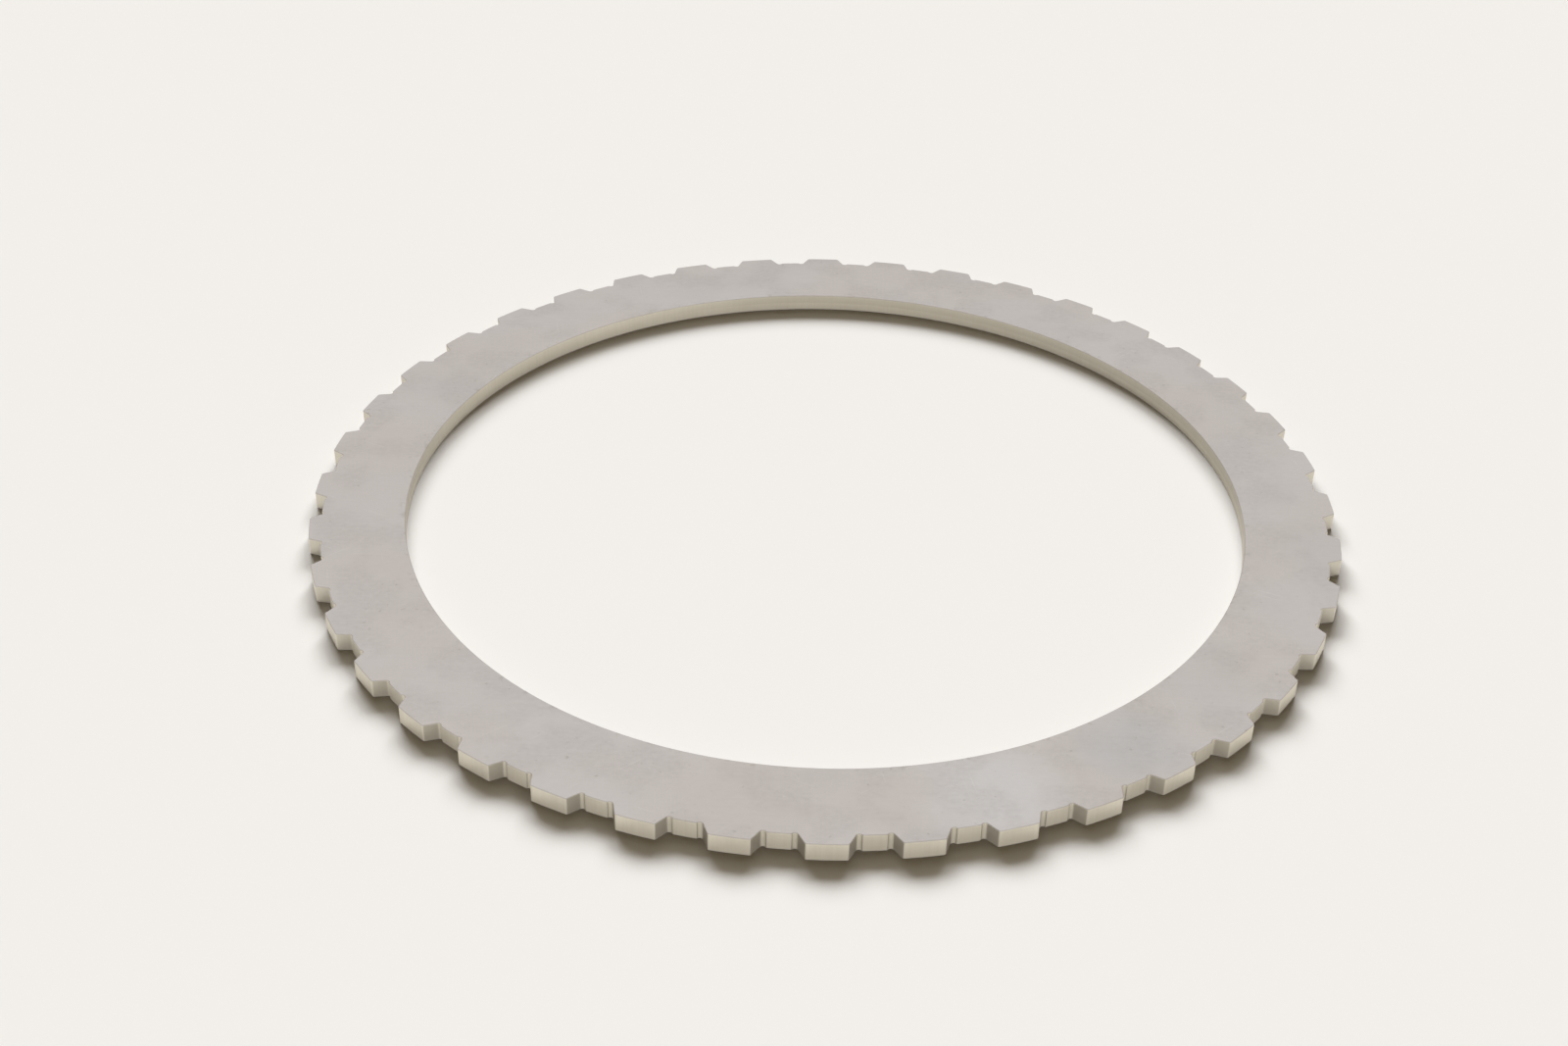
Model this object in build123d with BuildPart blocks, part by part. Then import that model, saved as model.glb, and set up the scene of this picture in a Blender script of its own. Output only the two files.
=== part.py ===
from build123d import *
from math import acos, cos, degrees, radians, sin
import os

# Clutch pressure plate: the flat, hardened steel plate of an oil-cooled multi-plate clutch.
# It is one piece: a ring with bevelled rims, ground on both faces, with teeth cut round its
# outer edge. The teeth slide in the splines of the clutch drum, and the bore clears the hub
# and the lined plates. The origin is the centre of the lower face, +Z is the clutch axis,
# and one tooth is on +X.

# ---- driving dimensions, millimetres and degrees ----
thickness = 4.5             # between the two ground faces
bore_diameter = 204.5       # clears the splined hub
face_width = 20.1           # bore to tooth root, the band that the linings rub on
tooth_count = 40
tooth_depth = 2.65          # root circle to tip circle
addendum = 1.0              # pitch circle to tip circle; tooth and gap are equal at the pitch circle
pressure_angle = 30         # flank to radius, at the pitch circle
relief_radius = 0.8         # round relief at both ends of each root
relief_depth = 0.4          # how far it is sunk below the root circle
edge_break = 0.3            # bevel on both edges of the bore and of the tooth tips
overrun = 1.0               # how far the tooth cutter runs past each face

# ---- circles of the spline ----
bore_radius = bore_diameter / 2
root_radius = bore_radius + face_width
tip_radius = root_radius + tooth_depth
pitch_radius = tip_radius - addendum
base_radius = pitch_radius * cos(radians(pressure_angle))
flank_radius = pitch_radius * sin(radians(pressure_angle))   # of the involute, at the pitch circle
half_gap = 90 / tooth_count                                  # angle from gap to flank, pitch circle


def axis_angle(side_a, side_b, far_side):
    """Angle at the plate's axis, in a triangle with sides side_a and side_b from the axis."""
    cosine = (side_a**2 + side_b**2 - far_side**2) / (2 * side_a * side_b)
    return degrees(acos(cosine))


def polar(radius, angle):
    """The point at this radius and angle round the plate's axis."""
    return Vector(radius * cos(radians(angle)), radius * sin(radians(angle)))


# ---- one gap between two teeth, symmetrical about +X ----
# A flank is the arc that follows the involute at the pitch circle. Its centre is on the base
# circle. The relief touches the flank from outside and runs out at the root circle.
flank_centre_angle = half_gap + pressure_angle
flank_centre = polar(base_radius, flank_centre_angle)
tip_angle = flank_centre_angle - axis_angle(base_radius, tip_radius, flank_radius)
relief_centre_radius = root_radius - relief_depth + relief_radius
relief_reach = flank_radius + relief_radius
relief_angle = flank_centre_angle - axis_angle(base_radius, relief_centre_radius, relief_reach)
relief_centre = polar(relief_centre_radius, relief_angle)
root_angle = relief_angle - axis_angle(relief_centre_radius, root_radius, relief_radius)

tip_corner = polar(tip_radius, tip_angle)
pitch_point = polar(pitch_radius, half_gap)
relief_start = flank_centre + (relief_centre - flank_centre) * (flank_radius / relief_reach)
relief_bottom = polar(relief_centre_radius - relief_radius, relief_angle)
root_corner = polar(root_radius, root_angle)

with BuildSketch() as tooth_gap:
    with BuildLine():
        ThreePointArc(tip_corner, pitch_point, relief_start)
        ThreePointArc(relief_start, relief_bottom, root_corner)
        mirror(about=Plane.XZ)
        ThreePointArc(root_corner, polar(root_radius, 0), polar(root_radius, -root_angle))
        ThreePointArc(tip_corner, polar(tip_radius + tooth_depth, 0), polar(tip_radius, -tip_angle))
    make_face()

# ---- the plate: a turned ring, then the gaps cut through it ----
with BuildPart() as pressure_plate:
    with BuildSketch(Plane.XZ) as ring_section:
        with Locations((bore_radius, 0)):
            Rectangle(tip_radius - bore_radius, thickness, align=(Align.MIN, Align.MIN))
        chamfer(ring_section.vertices(), length=edge_break)
    revolve(axis=Axis.Z)
    with BuildSketch(Plane.XY.offset(-overrun)):
        with PolarLocations(0, tooth_count, start_angle=half_gap * 2):
            add(tooth_gap.sketch)
    extrude(amount=thickness + 2 * overrun, mode=Mode.SUBTRACT)

pressure_plate.part.label = "pressure_plate"
os.makedirs("parts", exist_ok=True)
export_step(pressure_plate.part, "parts/pressure_plate.step")
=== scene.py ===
import bpy
import math
from mathutils import Matrix, Vector


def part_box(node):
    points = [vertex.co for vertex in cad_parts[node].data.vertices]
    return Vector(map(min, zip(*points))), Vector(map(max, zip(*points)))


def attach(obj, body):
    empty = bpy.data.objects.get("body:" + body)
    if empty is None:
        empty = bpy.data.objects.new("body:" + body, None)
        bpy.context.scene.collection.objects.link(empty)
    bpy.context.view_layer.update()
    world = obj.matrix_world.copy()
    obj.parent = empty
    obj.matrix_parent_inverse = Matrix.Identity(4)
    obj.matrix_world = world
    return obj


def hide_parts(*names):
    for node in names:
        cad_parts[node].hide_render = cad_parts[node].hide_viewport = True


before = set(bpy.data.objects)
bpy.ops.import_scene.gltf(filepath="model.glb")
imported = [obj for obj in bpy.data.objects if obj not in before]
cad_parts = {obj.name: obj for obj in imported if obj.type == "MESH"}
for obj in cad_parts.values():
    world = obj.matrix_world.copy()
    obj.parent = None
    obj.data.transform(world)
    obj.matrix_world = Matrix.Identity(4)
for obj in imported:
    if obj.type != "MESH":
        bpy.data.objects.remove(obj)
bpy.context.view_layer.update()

# ---- camera ----
# A short telephoto in front of the table, looking down on the plate at 34.5 degrees and turned
# a degree about its own axis.
camera_place = Vector((-0.00989, -0.43085, 0.29151))
camera_pitch = math.radians(34.50)
camera_roll = math.radians(1.189)
camera_lens = 48.16
sensor_width = 36.0

bpy.ops.object.select_all(action="DESELECT")
camera_data = bpy.data.cameras.new("camera")
camera_data.lens = camera_lens
camera_data.sensor_width = sensor_width
camera = bpy.data.objects.new("camera", camera_data)
turned_down = Matrix.Rotation(math.pi / 2 - camera_pitch, 4, "X")
rolled = Matrix.Rotation(camera_roll, 4, "Z")
camera.matrix_world = Matrix.Translation(camera_place) @ turned_down @ rolled
bpy.context.scene.collection.objects.link(camera)
bpy.context.scene.camera = camera
bpy.context.scene.view_settings.view_transform = "Standard"


# ---- table top ----
# A pale, matt table that the plate lies on. It isn't part of the object. Seen from below it is
# clear, and so is the hair of air under the plate, so that the plate's underside shows too.
table_size = 60.0
table_colour = (0.862, 0.844, 0.818, 1.0)
air_gap = 0.00005
touching_distance = 0.0003


def new_finish(name):
    """An empty node material and its Principled shader."""
    material = bpy.data.materials.new(name)
    material.use_nodes = True
    return material, material.node_tree.nodes["Principled BSDF"]


class Socket:
    """A shader socket that takes part in Python expressions, each of which adds a Math node."""

    def __init__(self, tree, link=None):
        self.tree = tree
        self.link = link

    def node(self, kind, settings=None, output=0, **sockets):
        """Adds a node of this type: its settings first, then its sockets' values or links.

        A socket is named by its label, with _ for a space, or as n0, n1 and so on by its number.
        """
        made = self.tree.nodes.new(kind)
        for name, value in (settings or {}).items():
            setattr(made, name, value)
        for name, value in sockets.items():
            numbered = name[0] == "n" and name[1:].isdigit()
            key = int(name[1:]) if numbered else name.replace("_", " ")
            plug = made.inputs[key]
            if isinstance(value, Socket):
                self.tree.links.new(value.link, plug)
            else:
                plug.default_value = value
        return Socket(self.tree, made.outputs[output])

    def maths(self, operation, *values):
        """Adds a Math node with these inputs."""
        sockets = {f"n{number}": value for number, value in enumerate(values)}
        return self.node("ShaderNodeMath", {"operation": operation}, **sockets)

    def mix(self, share, first, second):
        """The first colour, turned into the second by the share."""
        first = first if isinstance(first, Socket) else (*first, 1.0)
        second = second if isinstance(second, Socket) else (*second, 1.0)
        of_colours = {"data_type": "RGBA"}
        return self.node("ShaderNodeMix", of_colours, output=2, n0=share, n6=first, n7=second)

    def feed(self, shader, name):
        """Joins this socket to one of a shader's inputs."""
        self.tree.links.new(self.link, shader.inputs[name])

    def __add__(self, other):
        return self.maths("ADD", self, other)

    def __radd__(self, other):
        return self.maths("ADD", other, self)

    def __sub__(self, other):
        return self.maths("SUBTRACT", self, other)

    def __rsub__(self, other):
        return self.maths("SUBTRACT", other, self)

    def __mul__(self, other):
        return self.maths("MULTIPLY", self, other)

    def __rmul__(self, other):
        return self.maths("MULTIPLY", other, self)


bpy.ops.mesh.primitive_plane_add(size=table_size, location=(0, 0, -air_gap))
table = bpy.context.object
table.name = "table"
table_finish, table_shader = new_finish("matt_white")
table_shader.inputs["Base Color"].default_value = table_colour
table_shader.inputs["Roughness"].default_value = 0.9
table_shader.inputs["Specular IOR Level"].default_value = 0.0
surface = Socket(table_finish.node_tree)
white = Socket(table_finish.node_tree, table_shader.outputs["BSDF"])
clear = surface.node("ShaderNodeBsdfTransparent")
reach = surface.node("ShaderNodeLightPath", output="Ray Length")
touching = surface.maths("LESS_THAN", reach, touching_distance)
from_below = surface.node("ShaderNodeNewGeometry", output="Backfacing")
seen_through = surface.maths("MAXIMUM", touching, from_below)
one_sided = surface.node("ShaderNodeMixShader", n0=seen_through, n1=white, n2=clear)
one_sided.feed(table_finish.node_tree.nodes["Material Output"], "Surface")
table.data.materials.append(table_finish)

# ---- light ----
# Two soft boxes behind the plate and one above. One in front, so low that it skims the table,
# lights the walls: it casts no shadow and its light isn't passed on. Each box has its azimuth,
# height and spread in degrees, its share of the table's light, and its colour.
soft_boxes = {
    "left_box": (106, 30, 24, 0.45, (0.965, 0.985, 1.02)),
    "right_box": (80, 30, 24, 0.42, (0.965, 0.985, 1.02)),
    "top_box": (95, 60, 40, 0.09, (1.0, 0.930, 0.80)),
    "front_box": (276, 1.3, 2, 0.0455, (1.0, 0.97, 0.94)),
}

for name, (azimuth, height, spread, share, colour) in soft_boxes.items():
    skims_table = height < 10
    lamp = bpy.data.lights.new(name, "SUN")
    lamp.angle = math.radians(spread)
    lamp.color = colour
    lamp.energy = share * math.pi / math.sin(math.radians(height))
    lamp.use_shadow = not skims_table
    lamp.cycles.max_bounces = 0 if skims_table else 12
    box = bpy.data.objects.new(name, lamp)
    box.rotation_euler = (math.radians(90 - height), 0, math.radians(azimuth + 90))
    box.visible_glossy = False
    bpy.context.scene.collection.objects.link(box)

# The room: white to look at, brighter towards its ceiling in what the steel mirrors, and a faint
# warm light on everything else.
room_light = (0.060, 0.040, 0.008)
room_white = (1.0, 0.99, 0.97)
mirrored_wall = (0.708, 0.702, 0.690)
mirrored_ceiling = (1.14, 1.132, 1.11)
world = bpy.data.worlds.new("room")
world.use_nodes = True
bpy.context.scene.world = world
background = world.node_tree.nodes["Background"]
room = Socket(world.node_tree)
seen = room.node("ShaderNodeLightPath", output="Is Camera Ray")
mirrored = room.node("ShaderNodeLightPath", output="Is Glossy Ray")
through = room.node("ShaderNodeLightPath", output="Is Transmission Ray")
scattered = room.node("ShaderNodeLightPath", output="Diffuse Depth")
direct = room.maths("MINIMUM", seen + mirrored + through, 1.0)
direct = direct * room.maths("LESS_THAN", scattered, 0.5)
direction = room.node("ShaderNodeTexCoord", output="Generated")
up = room.node("ShaderNodeSeparateXYZ", output="Z", Vector=direction)
rise = room.node("ShaderNodeMapRange", n0=up, n1=0.0, n2=0.8, n3=0.0, n4=1.0)
white_walls = room.mix(rise, mirrored_wall, mirrored_ceiling)
white_walls = room.mix(mirrored, room_white, white_walls)
room_colour = room.mix(direct, room_light, white_walls)
room_colour.feed(background, "Color")

# ---- steel plate ----
# The clutch plate itself: hardened steel, one piece, ground on both faces. The outline is drawn
# as half a tooth, mirrored, and repeated round the axis, then given its thickness, and its edges
# are rounded as tumbling leaves them.
inside_box = 1e-6
top_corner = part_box("pressure_plate")[1]
thickness = top_corner.z
tip_radius = top_corner.x - inside_box
tooth_count = 40
bore_radius = 0.10225
root_radius = 0.12235
pitch_radius = 0.1240
pressure_angle = math.radians(30)
relief_radius = 0.0008
relief_depth = 0.0004
edge_round = 0.00025
corner_round = 0.00025
merge_distance = 1e-6

half_pitch = math.pi / tooth_count
base_radius = pitch_radius * math.cos(pressure_angle)
flank_radius = pitch_radius * math.sin(pressure_angle)
flank_centre_angle = half_pitch / 2 - pressure_angle
relief_centre_radius = root_radius - relief_depth + relief_radius


def axis_angle(side_a, side_b, far_side):
    """Angle at the plate's axis, in a triangle with sides side_a and side_b from the axis."""
    return math.acos((side_a**2 + side_b**2 - far_side**2) / (2 * side_a * side_b))


def polar(radius, angle):
    """A point on the table, from its distance and direction from the axis."""
    return Vector((radius * math.cos(angle), radius * math.sin(angle), 0.0))


tip_angle = flank_centre_angle + axis_angle(base_radius, tip_radius, flank_radius)
relief_angle = flank_centre_angle + axis_angle(
    base_radius, relief_centre_radius, flank_radius + relief_radius)
root_angle = relief_angle + axis_angle(relief_centre_radius, root_radius, relief_radius)
flank_centre = polar(base_radius, flank_centre_angle)
relief_centre = polar(relief_centre_radius, relief_angle)


def bearing(centre, point):
    """Direction of a point seen from a centre, as an angle."""
    return math.atan2(point.y - centre.y, point.x - centre.x)


tip_corner = polar(tip_radius, tip_angle)
root_corner = polar(root_radius, root_angle)
flank_sweep = bearing(flank_centre, relief_centre) - bearing(flank_centre, tip_corner)
relief_start = bearing(relief_centre, flank_centre)
relief_sweep = -((relief_start - bearing(relief_centre, root_corner)) % (2 * math.pi))


def arc(sweep, centre, steps):
    """Draws on from the selected point, round a centre. Spin takes clockwise as positive."""
    bpy.ops.mesh.spin(steps=steps, angle=-sweep, center=centre, axis=(0, 0, 1))


def start_point(place):
    """A lone selected vertex in the mesh that is open in edit mode."""
    bpy.ops.mesh.select_all(action="DESELECT")
    bpy.ops.mesh.primitive_plane_add(size=0.001, location=place)
    bpy.ops.mesh.merge(type="CENTER")


bpy.ops.object.select_all(action="DESELECT")
bpy.ops.mesh.primitive_plane_add(size=0.001, location=(0, 0, 0))
plate = bpy.context.object
plate.name = "steel_plate"
bpy.ops.object.mode_set(mode="EDIT")
bpy.ops.mesh.delete(type="VERT")

# Half a tooth, from the middle of its tip to the middle of the gap, and back along the bore.
start_point(polar(tip_radius, 0))
arc(tip_angle, (0, 0, 0), 4)
arc(flank_sweep, flank_centre, 5)
arc(relief_sweep, relief_centre, 12)
arc(half_pitch - root_angle, (0, 0, 0), 3)
inwards = polar(bore_radius, half_pitch) - polar(root_radius, half_pitch)
bpy.ops.mesh.extrude_region_move(TRANSFORM_OT_translate={"value": inwards})
arc(-half_pitch, (0, 0, 0), 9)

# The other half, one flat face between bore and tooth, then all the other teeth.
bpy.ops.mesh.select_all(action="SELECT")
bpy.ops.mesh.duplicate()
bpy.ops.transform.resize(value=(1, -1, 1), center_override=(0, 0, 0))
bpy.ops.mesh.select_all(action="SELECT")
bpy.ops.mesh.remove_doubles(threshold=merge_distance)
bpy.ops.mesh.edge_face_add()
bpy.ops.mesh.spin(steps=tooth_count - 1, dupli=True, angle=-(2 * math.pi - 2 * half_pitch),
                  center=(0, 0, 0), axis=(0, 0, 1))
bpy.ops.mesh.select_all(action="SELECT")
bpy.ops.mesh.remove_doubles(threshold=merge_distance)

# Thickness, and faces that point outwards.
bpy.ops.mesh.extrude_region_move(TRANSFORM_OT_translate={"value": (0, 0, thickness)})
bpy.ops.mesh.select_all(action="SELECT")
bpy.ops.mesh.normals_make_consistent(inside=False)


def round_edges(chosen, width):
    """Rounds the sharp edges whose two ends pass the test."""
    bpy.ops.mesh.select_mode(type="EDGE")
    bpy.ops.mesh.select_all(action="DESELECT")
    bpy.ops.mesh.edges_select_sharp(sharpness=math.radians(30))
    bpy.ops.object.mode_set(mode="OBJECT")
    points = plate.data.vertices
    for edge in plate.data.edges:
        edge.select = edge.select and chosen(*[points[index].co for index in edge.vertices])
    bpy.ops.object.mode_set(mode="EDIT")
    bpy.ops.mesh.bevel(
        offset=width, segments=3, affect="EDGES", clamp_overlap=False, loop_slide=False
    )


def tip_corner_edge(start, end):
    """Whether an edge runs up one of the two corners of a tooth's tip."""
    return abs(start.z - end.z) > thickness / 2 and start.xy.length > pitch_radius


def face_edge(start, end):
    """Whether an edge lies round the top or the bottom face."""
    return start.z == end.z


round_edges(tip_corner_edge, corner_round)
round_edges(face_edge, edge_round)
bpy.ops.mesh.select_all(action="SELECT")
bpy.ops.object.mode_set(mode="OBJECT")
bpy.ops.object.shade_smooth_by_angle(angle=math.radians(35))
flat_normals = plate.modifiers.new("flat_normals", "WEIGHTED_NORMAL")
flat_normals.keep_sharp = True
bpy.ops.object.modifier_apply(modifier=flat_normals.name)

# The finish: both faces ground, then stained and scuffed by handling, with the walls left as they
# were cut, rougher, warmer, and streaked through the thickness.
steel, steel_shader = new_finish("ground_steel")
grain = Socket(steel.node_tree)
place = grain.node("ShaderNodeTexCoord", output="Object")
facing = grain.node("ShaderNodeTexCoord", output="Normal")
height = grain.node("ShaderNodeSeparateXYZ", output="Z", Vector=place)
flat_place = grain.node("ShaderNodeVectorMath", {"operation": "MULTIPLY"}, n0=place, n1=(1, 1, 0))
radius = grain.node("ShaderNodeVectorMath", {"operation": "LENGTH"}, output="Value", n0=flat_place)


def step(value, start, end):
    """Rises smoothly from 0 to 1 between two values."""
    return grain.node("ShaderNodeMapRange", {"interpolation_type": "SMOOTHSTEP"},
                      n0=value, n1=start, n2=end, n3=0.0, n4=1.0)


def noise(stretch, detail=2.0, turn=0.0, shift=0.0):
    """Soft noise: stretch gives how many cells there are to a metre along X, Y and Z."""
    rotation = (0, 0, math.radians(turn))
    turned = grain.node("ShaderNodeMapping", Vector=place, Location=(shift, 0, 0), Rotation=rotation)
    drawn = grain.node("ShaderNodeVectorMath", {"operation": "MULTIPLY"}, n0=turned, n1=stretch)
    return grain.node("ShaderNodeTexNoise", Vector=drawn, Scale=1.0, Detail=detail)


def patch(x, y, inner, outer):
    """A soft round patch at a place on the face: 1 within the inner radius, 0 past the outer one."""
    away = grain.node("ShaderNodeVectorMath", {"operation": "DISTANCE"}, output="Value",
                      n0=flat_place, n1=(x, y, 0))
    return 1 - step(away + 0.012 * (ragged - 0.5), inner, outer)


# Where the surface is: on a face, on the rim round a face, or on a wall that is a tooth's flank
# (its normal points along the rim) or the bore.
face_height = thickness / 2
from_middle = grain.maths("ABSOLUTE", height - face_height)
face = step(from_middle, face_height - edge_round, face_height - edge_round / 4)
edge = step(from_middle, face_height - 1.4 * edge_round, face_height - 0.9 * edge_round)
flat = step(from_middle, face_height - edge_round / 4, face_height)
rim = edge - flat
turning = grain.node("ShaderNodeVectorMath", {"operation": "CROSS_PRODUCT"}, n0=flat_place, n1=facing)
sideways = grain.maths("ABSOLUTE", grain.node("ShaderNodeSeparateXYZ", output="Z", Vector=turning))
flank = step(sideways, 0.45 * pitch_radius, 0.8 * pitch_radius)
in_bore = 1 - step(radius, bore_radius + 0.0002, bore_radius + 0.0008)
near_bore = 1 - step(radius, bore_radius + 0.0003, bore_radius + 0.0022)

# Faces: broad stains, brown-grey, pale and dark, and three soft patches.
ragged = noise((120, 120, 0), detail=3.0)
brown_stain = step(noise((26, 34, 0), detail=4.0, shift=0.31), 0.42, 0.66)
pale_stain = step(noise((30, 38, 0), detail=4.0, shift=0.77), 0.46, 0.70)
dark_stain = step(noise((34, 30, 0), detail=4.0, shift=1.43), 0.48, 0.72)
face_colour = grain.mix(brown_stain, (0.570, 0.536, 0.521), (0.564, 0.522, 0.496))
face_colour = grain.mix(0.5 * pale_stain, face_colour, (0.583, 0.560, 0.552))
face_colour = grain.mix(0.45 * dark_stain, face_colour, (0.520, 0.495, 0.485))
pale_patch = patch(0.034, -0.108, 0.006, 0.020)
dark_patch = patch(0.063, -0.094, 0.004, 0.016)
brown_patch = patch(-0.020, -0.119, 0.006, 0.026)
face_colour = grain.mix(0.7 * pale_patch, face_colour, (0.622, 0.605, 0.603))
face_colour = grain.mix(0.6 * dark_patch, face_colour, (0.495, 0.485, 0.485))
face_colour = grain.mix(0.5 * brown_patch, face_colour, (0.544, 0.494, 0.459))

# Grinding marks along X, and a finer mottle that is stronger where the face is worn.
worn = step(noise((75, 75, 0), detail=2.0, shift=0.5), 0.42, 0.60)
grinding = noise((30, 1500, 0), detail=2.0, turn=1.5)
mottle = noise((640, 900, 0), detail=3.0)
dashes = step(noise((700, 1500, 0), detail=1.0, turn=8), 0.60, 0.74) * worn
darkened = (0.10 + 0.25 * worn) * mottle + 0.10 * grinding + 0.08 * dashes
face_colour = grain.mix(darkened, face_colour, (0.36, 0.335, 0.32))

# Scuffs: short fine scratches in three directions, each with the level of noise that it starts
# at, and small dark and light specks.
scratches = 0.0
for turn, level in ((24, 0.74), (-38, 0.75), (78, 0.76)):
    lines = step(noise((60, 1700, 0), detail=0.0, turn=turn), level, level + 0.06)
    here = step(noise((70, 70, 0), detail=1.0, turn=turn + 40), 0.50, 0.62)
    scratches = scratches + lines * here
face_colour = grain.mix(0.13 * scratches, face_colour, (0.80, 0.77, 0.75))
speck_noise = noise((620, 760, 0), detail=1.0, shift=0.2)
specks = step(speck_noise, 0.70, 0.77) * (0.25 + 0.75 * worn)
bright_specks = (1 - step(speck_noise, 0.20, 0.27)) * worn
face_colour = grain.mix(0.30 * specks, face_colour, (0.24, 0.21, 0.18))
face_colour = grain.mix(0.12 * bright_specks, face_colour, (0.80, 0.78, 0.76))

# Nicks and dirt close to the bore.
nicks = near_bore * step(noise((420, 420, 0), detail=3.0, shift=0.9), 0.56, 0.68)
face_colour = grain.mix(0.22 * nicks, face_colour, (0.24, 0.21, 0.16))

# Walls: streaked tooth walls with painted shade on the flanks, and the bore, darkened by painted
# shade and more in the smoother band that the punch left above a torn one. Painted light makes
# the bore paler on one side.
streaks = noise((1300, 1300, 45), detail=2.0)
stains = noise((160, 160, 160), detail=3.0)
band = step(height, thickness * 0.42, thickness * 0.56)
wall_colour = grain.mix(stains, (0.715, 0.670, 0.570), (0.770, 0.730, 0.635))
wall_colour = grain.mix(0.4 * streaks, wall_colour, (0.58, 0.535, 0.445))
# Painted shade: the flanks are darkened, as if shade fell into the gaps between the teeth.
wall_colour = grain.mix(0.30 * flank, wall_colour, (0.40, 0.38, 0.33))
# The bore is darkened by painted shade all over, and more in the smoother band that the punch left at
# its top. Painted light, a patch with less of that shade, makes its back left paler.
bore_painted_shade = in_bore * (1 - 0.8 * patch(-0.075, 0.070, 0.02, 0.08))
wall_colour = grain.mix(bore_painted_shade * (0.34 + 0.26 * band), wall_colour, (0.40, 0.37, 0.30))
steel_colour = grain.mix(face, wall_colour, face_colour)
# Painted shade: the rounded rim round each face is darkened, to dull the highlight that it catches.
steel_colour = grain.mix(0.12 * rim, steel_colour, (0.30, 0.28, 0.25))
steel_colour.feed(steel_shader, "Base Color")

# The faces are bare metal. The rough walls shade partly like a dull, painted surface.
face_roughness = 0.45 + 0.06 * mottle + 0.22 * rim
wall_roughness = 0.48 + 0.08 * streaks + 0.20 * edge - 0.04 * flank
roughness = wall_roughness * (1 - face) + face_roughness * face
roughness.feed(steel_shader, "Roughness")
bare_metal = 0.80 + 0.20 * grain.maths("MAXIMUM", face, 0.35 * flank)
bare_metal.feed(steel_shader, "Metallic")

# A faint relief from the marks on the faces and the streaks on the walls.
scuffed = 0.7 * mottle + 0.4 * grinding - 0.4 * scratches - 1.2 * specks - 0.8 * nicks
relief = scuffed * face + streaks * (1 - face)
bump = grain.node("ShaderNodeBump", Height=relief, Strength=0.25, Distance=0.00002)
bump.feed(steel_shader, "Normal")
plate.data.materials.append(steel)

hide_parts("pressure_plate")
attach(plate, "root")
